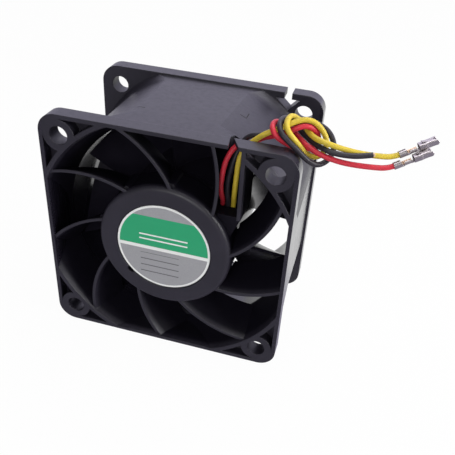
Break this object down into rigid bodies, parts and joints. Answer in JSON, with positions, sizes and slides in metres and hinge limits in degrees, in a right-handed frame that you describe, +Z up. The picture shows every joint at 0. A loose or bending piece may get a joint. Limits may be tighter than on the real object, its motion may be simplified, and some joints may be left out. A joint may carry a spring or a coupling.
{
  "type": "axial fan",
  "caption": "Deep square axial DC fan with a vaned motor base, twisted impeller blades and knotted supply leads, for forced cooling of a chassis.",
  "frame": {"origin": "middle of the frame's lower side, at mid depth, where the fan stands on its flange edges", "axes": "+Z up, +Y along the fan axis from the exhaust side with the label (-Y) to the intake side, +X to the right as seen from the exhaust side"},
  "size_m": [0.0864, 0.038, 0.0657],
  "materials": {
    "black_plastic": "moulded glass-filled plastic, satin",
    "label_film": "printed film label",
    "steel": "ground steel",
    "yoke_steel": "plated deep-drawn steel",
    "brass": "turned brass",
    "nylon": "natural nylon",
    "lamination": "stacked electrical steel",
    "ivory_plastic": "moulded plastic",
    "copper": "enamelled copper wire",
    "ferrite": "bonded ferrite",
    "board": "glass-epoxy board with solder mask",
    "chip_plastic": "moulded package",
    "capacitor_can": "drawn can",
    "tin": "tin plated",
    "red_pvc": "soft insulation",
    "black_pvc": "soft insulation",
    "yellow_pvc": "soft insulation"
  },
  "bodies": {
    "housing": {"frame": "black_plastic", "label": "label_film", "bearing_tube": "brass", "front_outer_ring": "steel", "rear_outer_ring": "steel", "front_bearing_shields": "steel", "rear_bearing_shields": "steel", "stator_core": "lamination", "front_insulator": "ivory_plastic", "rear_insulator": "ivory_plastic", "coil_1": "copper", "coil_2": "copper", "coil_3": "copper", "coil_4": "copper", "winding_pins": "tin", "circuit_board": "board", "hall_sensor": "chip_plastic", "driver_chip": "chip_plastic", "bridge_chips": "chip_plastic", "capacitor": "capacitor_can", "solder_joints": "tin", "lead_red": "red_pvc", "lead_black": "black_pvc", "lead_yellow": "yellow_pvc", "contact_red": "tin", "contact_yellow": "tin"},
    "rotor": {"impeller": "black_plastic", "rotor_yoke": "yoke_steel", "ring_magnet": "ferrite", "shaft_bush": "brass", "shaft": "steel", "front_inner_ring": "steel", "rear_inner_ring": "steel", "spring_washer": "steel", "retaining_clip": "steel"},
    "front_ball_set": {"front_balls": "steel", "front_cage": "nylon"},
    "rear_ball_set": {"rear_balls": "steel", "rear_cage": "nylon"}
  },
  "joints": [
    {"name": "rotor_spin", "type": "hinge", "parent": "housing", "child": "rotor", "pos_m": [0, 0, 0.03], "axis": [0, 1, 0], "continuous": true},
    {"name": "front_balls_orbit", "type": "hinge", "parent": "housing", "child": "front_ball_set", "pos_m": [0, 0, 0.03], "axis": [0, 1, 0], "continuous": true},
    {"name": "rear_balls_orbit", "type": "hinge", "parent": "housing", "child": "rear_ball_set", "pos_m": [0, 0, 0.03], "axis": [0, 1, 0], "continuous": true}
  ],
  "couplings": [
    {"joint": "front_balls_orbit", "follows": "rotor_spin", "ratio": 0.38727},
    {"joint": "rear_balls_orbit", "follows": "rotor_spin", "ratio": 0.38727}
  ]
}
